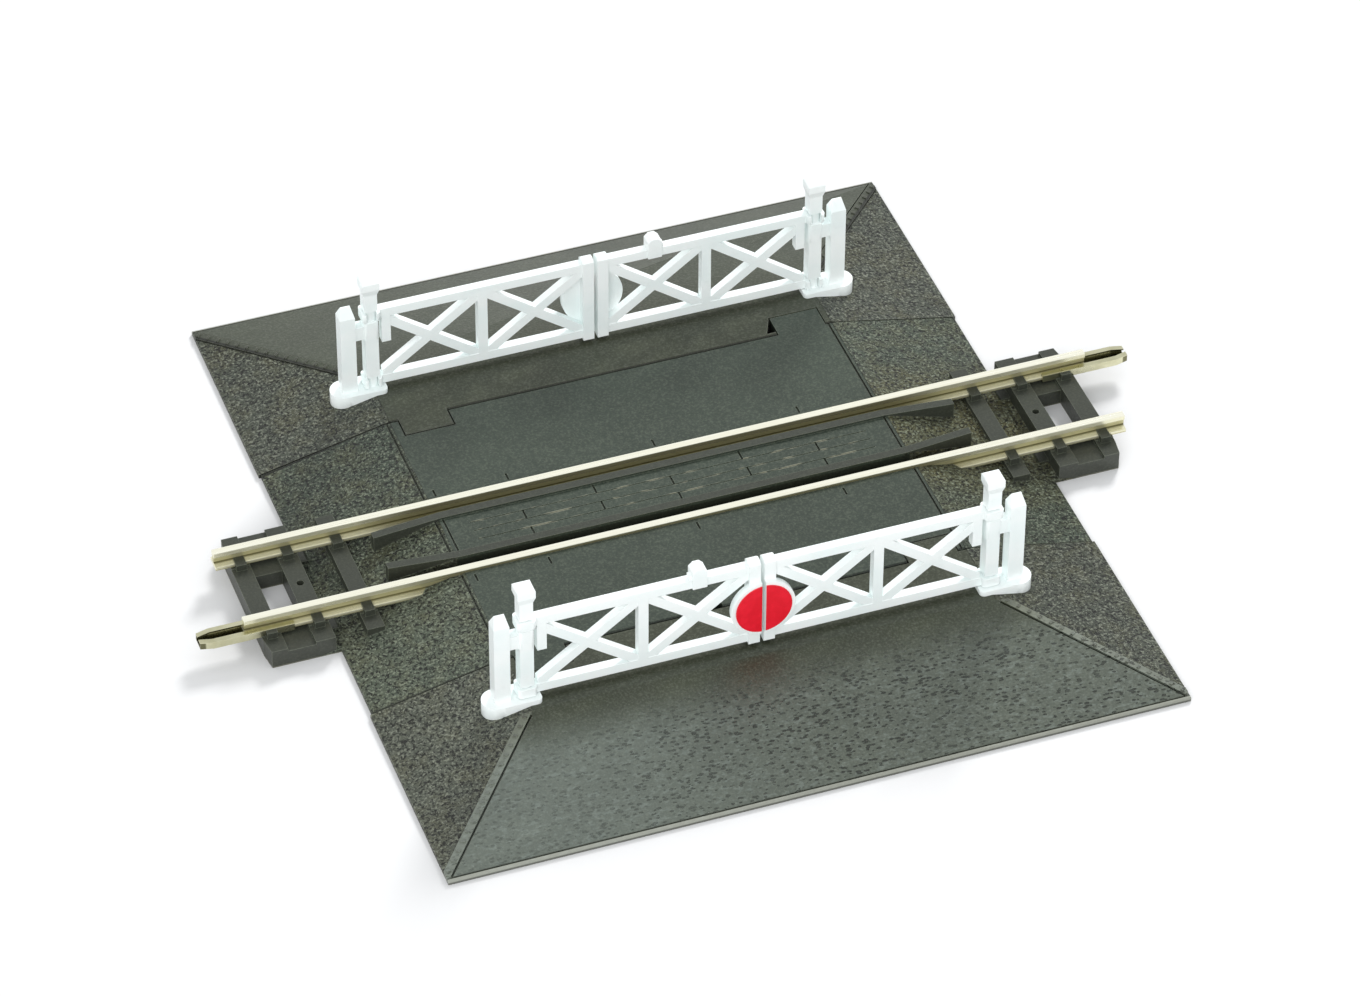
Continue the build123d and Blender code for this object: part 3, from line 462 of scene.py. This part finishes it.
def plastic_dust_and_light(tree, zones, look, color, light):
    """Dust on the grain, the kerbs and the lips, and painted light: sheen on the slopes, highlights
    round the dents and on the bead, and a lighter front left end.
    """
    dust_and_light = look["dust_and_light"]
    speck = tree.ramp(tree.noise(0.22 * MM, 3, 0.65), 0.42, 0.72)
    slope_sheen_share = tree.plus(tree.ramp(zones.y, *FRONT_Y, 0.04, 0.14), zones.lit_end, 0.12)
    color = tree.cover(color, dust_and_light, 0.16, speck, zones.smooth)
    color = tree.cover(color, dust_and_light, 0.52, light, zones.stony)
    color = tree.cover(color, dust_and_light, 0.34, zones.kerb, zones.in_front)
    color = tree.cover(color, SLEEPER_TINT, 0.6, zones.raised)
    # Painted light: the verge at the front left end made lighter.
    color = tree.cover(color, dust_and_light, 0.10, zones.stony, zones.lit_end)
    # Painted highlights on the rims of the front slope's dents.
    color = tree.cover(color, PAINTED_COOL_SHEEN, 0.16, slope_rim_highlights(tree, zones))
    # Painted sheen over the slopes, strongest on the front slope and towards its left end.
    color = tree.cover(color, PAINTED_COOL_SHEEN, slope_sheen_share, zones.slope)
    color = tree.cover(color, LIP_DUST, 0.20, zones.foot)
    # Painted highlight on the rounded bead of the lip.
    return tree.cover(color, BEAD_HIGHLIGHT, 0.34, zones.bead)


def plastic_shade(tree, zones, pits, dents):
    """How dark the painted shade in the pits, dents, seams, grooves and undercuts is."""
    return tree.largest(
        tree.times(pits, zones.stony, DARKNESS["pits"]),
        tree.times(dents, DARKNESS["dents"]),
        tree.times(zones.sunk, DARKNESS["sunk"]),
        lip_shade(tree, zones),
        seam_shade(tree, zones),
        groove_shade(tree, zones),
        rear_kerb_shade(tree, zones),
    )


def crossing_plastic(name, look):
    """Dark moulded plastic: stone grain on the verges, finer and smoother grain on the road."""
    tree = MaterialTree(name)
    zones = Zones(tree)
    stone, pits, light = stone_grain(tree)
    dents = slope_dents(tree, zones)
    normal = tree.bump(plastic_height(tree, zones, stone, dents), 0.9, 0.085 * MM)

    color = plastic_ground(tree, zones, look)
    color = plastic_dust_and_light(tree, zones, look, color, light)
    # Painted shade: the pits, dents, seams, grooves and undercuts darkened.
    color = tree.blend(plastic_shade(tree, zones, pits, dents), color, PAINTED_SHADE_BLACK)
    color = tree.cover(color, LIP_DUST, 0.50, board_scuffs(tree, zones))
    color = tree.cover(color, look["dust_and_light"], 0.42, tree.edge_wear(0.10 * MM))

    rough = tree.plus(look["roughness"], zones.stony, 0.08)
    rough = tree.plus(rough, tree.noise(1.1 * MM, 3, 0.6), 0.14)
    return tree.finish(color, rough, normal, Specular_IOR_Level=0.5)


# ---- rails and joiners ------------------------------------------------------------------
def rail_metal():
    """Drawn nickel silver: bright head, painted shade on the flank, web and crease, a painted road
    reflection, and a foot with a bright edge.
    """
    tree = MaterialTree("rail_metal")
    x, _, z = tree.axes()
    lines = tree.noise(0.14 * MM, 2, 0.6, tree.stretch((0.008, 1.0, 1.0)))
    stain = tree.ramp(tree.noise(1.6 * MM, 4, 0.65, tree.stretch((0.12, 1, 1))), 0.50, 0.80)
    flank = tree.ramp(z, *RAIL_FLANK_Z)
    web = tree.band(z, *RAIL_WEB_Z)
    beside_road = tree.ramp(tree.absolute(x), *BESIDE_ROAD_X)

    color = tree.blend(tree.ramp(lines, 0.3, 0.7), *RAIL_HEAD)
    # Painted shade on the flank below the top, and beside the road a painted reflection of the dark
    # road.
    color = tree.cover(color, RAIL_FLANK_SHADE, 0.75, flank)
    color = tree.cover(color, RAIL_MIRRORED_ROAD, 0.75, flank, beside_road)
    # Painted shade on the web under the head, in the crease above the foot and towards the underside.
    color = tree.cover(color, RAIL_WEB_SHADE, 0.90, web)
    color = tree.cover(color, RAIL_CREASE_SHADE, 0.85, tree.band(z, *RAIL_CREASE_Z))
    color = tree.cover(color, RAIL_UNDER_SHADE, 0.60, tree.ramp(z, *RAIL_UNDER_Z))
    color = tree.cover(color, RAIL_STAIN, 0.30, stain, flank)
    color = tree.cover(color, RAIL_WORN, 0.6, tree.edge_wear(0.05 * MM))

    rough = tree.plus(0.20, stain, 0.14)
    rough = tree.plus(rough, lines, 0.10)
    rough = tree.plus(rough, web, 0.20)
    return tree.finish(color, rough, tree.bump(lines, 0.10, 0.01 * MM), Metallic=0.6)


def joiner_metal():
    """Thin folded plate: smooth outside, tarnished inside, bright on its cut edges."""
    tree = MaterialTree("joiner_metal")
    _, y, z = tree.axes()
    from_rail = tree.absolute(tree.minus(tree.absolute(y), RAIL_Y))
    inside = tree.times(tree.ramp(from_rail, *IN_JOINER), tree.ramp(z, *IN_JOINER_Z))
    stain = tree.ramp(tree.noise(2.4 * MM, 3, 0.6), 0.40, 0.72)
    scratches = tree.noise(0.06 * MM, 2, 0.6, tree.stretch((0.03, 1.0, 1.0), 0.1))
    color = tree.blend(tree.times(stain, 0.5), *JOINER_TONES)
    color = tree.cover(color, JOINER_TARNISH, 0.85, inside)
    color = tree.cover(color, JOINER_WORN, 0.7, tree.edge_wear(0.06 * MM))
    rough = tree.plus(0.26, stain, 0.12)
    return tree.finish(color, rough, tree.bump(scratches, 0.2, 0.01 * MM), Metallic=1.0)


# ---- gates ------------------------------------------------------------------------------
def gate_plastic():
    """Bright white moulded plastic with a faint skin, flow marks and a trace of handling dirt."""
    tree = MaterialTree("gate_plastic")
    flow = tree.noise(3.0 * MM, 3, 0.5, tree.stretch((0.4, 1, 1)))
    skin = tree.noise(0.22 * MM, 2, 0.5)
    dirt = tree.ramp(tree.noise(1.4 * MM, 4, 0.65), 0.56, 0.80)
    color = tree.blend(tree.ramp(flow, 0.3, 0.7), *GATE_TONES)
    color = tree.cover(color, GATE_DIRT, 0.10, dirt)
    color = tree.cover(color, GATE_WORN, 0.35, tree.edge_wear(0.06 * MM))
    rough = tree.plus(0.30, flow, 0.12)
    normal = tree.bump(tree.plus(skin, flow, 0.5), 0.16, 0.02 * MM)
    return tree.finish(color, rough, normal, Subsurface_Weight=0.12, Subsurface_Scale=0.4 * MM,
                       Subsurface_Radius=(1.0, 1.0, 1.0))


def target_red():
    """Thin red label with a fine printed grain and slightly scuffed edge."""
    tree = MaterialTree("target_red")
    grain = tree.noise(0.10 * MM, 2, 0.6)
    patch = tree.ramp(tree.noise(1.2 * MM, 3, 0.55), 0.35, 0.7)
    color = tree.blend(patch, *TARGET_TONES)
    color = tree.cover(color, TARGET_WORN, 0.25, tree.edge_wear(0.06 * MM))
    return tree.finish(color, tree.plus(0.34, grain, 0.15), tree.bump(grain, 0.15, 0.01 * MM))


# ---- materials on the CAD nodes ---------------------------------------------------------
SLOT_MATERIALS = {
    "base_plastic": crossing_plastic("base_plastic", BASE_LOOK),
    "ramp_plastic": crossing_plastic("ramp_plastic", RAMP_LOOK),
    "rail_metal": rail_metal(),
    "joiner_metal": joiner_metal(),
    "gate_plastic": gate_plastic(),
    "target_red": target_red(),
}

BEVEL_WIDTH = {
    "base_plastic": 0.05 * MM, "ramp_plastic": 0.06 * MM, "rail_metal": 0.04 * MM,
    "joiner_metal": 0.03 * MM, "gate_plastic": 0.05 * MM, "target_red": 0.03 * MM,
}
BEVEL_ANGLE = math.radians(32)
WELD_DISTANCE = 0.0005 * MM


def dress_nodes():
    """Gives every CAD node its material and softly rounded edges."""
    for row in frame["record"]["subparts"]:
        node = frame["nodes"][row["node"]]
        slot_name = row["material_slot"]
        node.data.materials.clear()
        node.data.materials.append(SLOT_MATERIALS[slot_name])
        weld = node.modifiers.new("weld", "WELD")
        weld.merge_threshold = WELD_DISTANCE
        bevel = node.modifiers.new("soft_edges", "BEVEL")
        bevel.width = BEVEL_WIDTH[slot_name]
        bevel.segments = 2
        bevel.limit_method = "ANGLE"
        bevel.angle_limit = BEVEL_ANGLE
        bevel.harden_normals = True


# ---- stage, light and camera ------------------------------------------------------------
def floor():
    """A plain pale floor just under the crossing."""
    mesh = bpy.data.meshes.new("floor")
    corners = [(-FLOOR_HALF, -FLOOR_HALF, -FLOOR_DROP), (FLOOR_HALF, -FLOOR_HALF, -FLOOR_DROP),
               (FLOOR_HALF, FLOOR_HALF, -FLOOR_DROP), (-FLOOR_HALF, FLOOR_HALF, -FLOOR_DROP)]
    mesh.from_pydata(corners, [], [(0, 1, 2, 3)])
    plane = bpy.data.objects.new("floor", mesh)
    bpy.context.scene.collection.objects.link(plane)
    tree = MaterialTree("floor_white")
    color = tree.blend(tree.noise(60 * MM, 2, 0.5), *FLOOR_TONES)
    plane.data.materials.append(tree.finish(color, 0.9, Specular_IOR_Level=0.1))


def area_light(name, place, size, power):
    """A square soft light that looks at the middle of the crossing. Gloss doesn't mirror it."""
    data = bpy.data.lights.new(name, "AREA")
    data.size = size
    data.energy = power
    light = bpy.data.objects.new(name, data)
    light.location = place
    light.visible_glossy = False
    light.rotation_euler = (-Vector(place)).to_track_quat("-Z", "Y").to_euler()
    bpy.context.scene.collection.objects.link(light)


def lights():
    """Even light from all round, a key light from behind on the right and a fill from in front."""
    world = bpy.data.worlds.new("studio")
    world.use_nodes = True
    background = world.node_tree.nodes["Background"]
    background.inputs["Color"].default_value = SKY_COLOR
    background.inputs["Strength"].default_value = SKY_STRENGTH
    bpy.context.scene.world = world
    area_light("key", **KEY_LIGHT)
    area_light("fill", **FILL_LIGHT)


def camera():
    """The camera at the reference view's angle."""
    data = bpy.data.cameras.new("camera")
    data.lens = CAMERA_LENS
    data.sensor_width = CAMERA_SENSOR
    data.clip_start = 0.01
    data.clip_end = 20.0
    view = bpy.data.objects.new("camera", data)
    back = Vector((math.sin(CAMERA_AZIMUTH) * math.cos(CAMERA_ELEVATION),
                   -math.cos(CAMERA_AZIMUTH) * math.cos(CAMERA_ELEVATION),
                   math.sin(CAMERA_ELEVATION)))
    level = Vector((math.cos(CAMERA_AZIMUTH), math.sin(CAMERA_AZIMUTH), 0.0))
    upright = back.cross(level)
    right = level * math.cos(CAMERA_ROLL) + upright * math.sin(CAMERA_ROLL)
    up = upright * math.cos(CAMERA_ROLL) - level * math.sin(CAMERA_ROLL)
    turn = Matrix((right, up, back)).transposed().to_4x4()
    view.matrix_world = Matrix.Translation(CAMERA_TARGET + back * CAMERA_DISTANCE) @ turn
    bpy.context.scene.collection.objects.link(view)
    bpy.context.scene.camera = view


dress_nodes()
floor()
lights()
camera()
bpy.context.scene.view_settings.view_transform = "Standard"
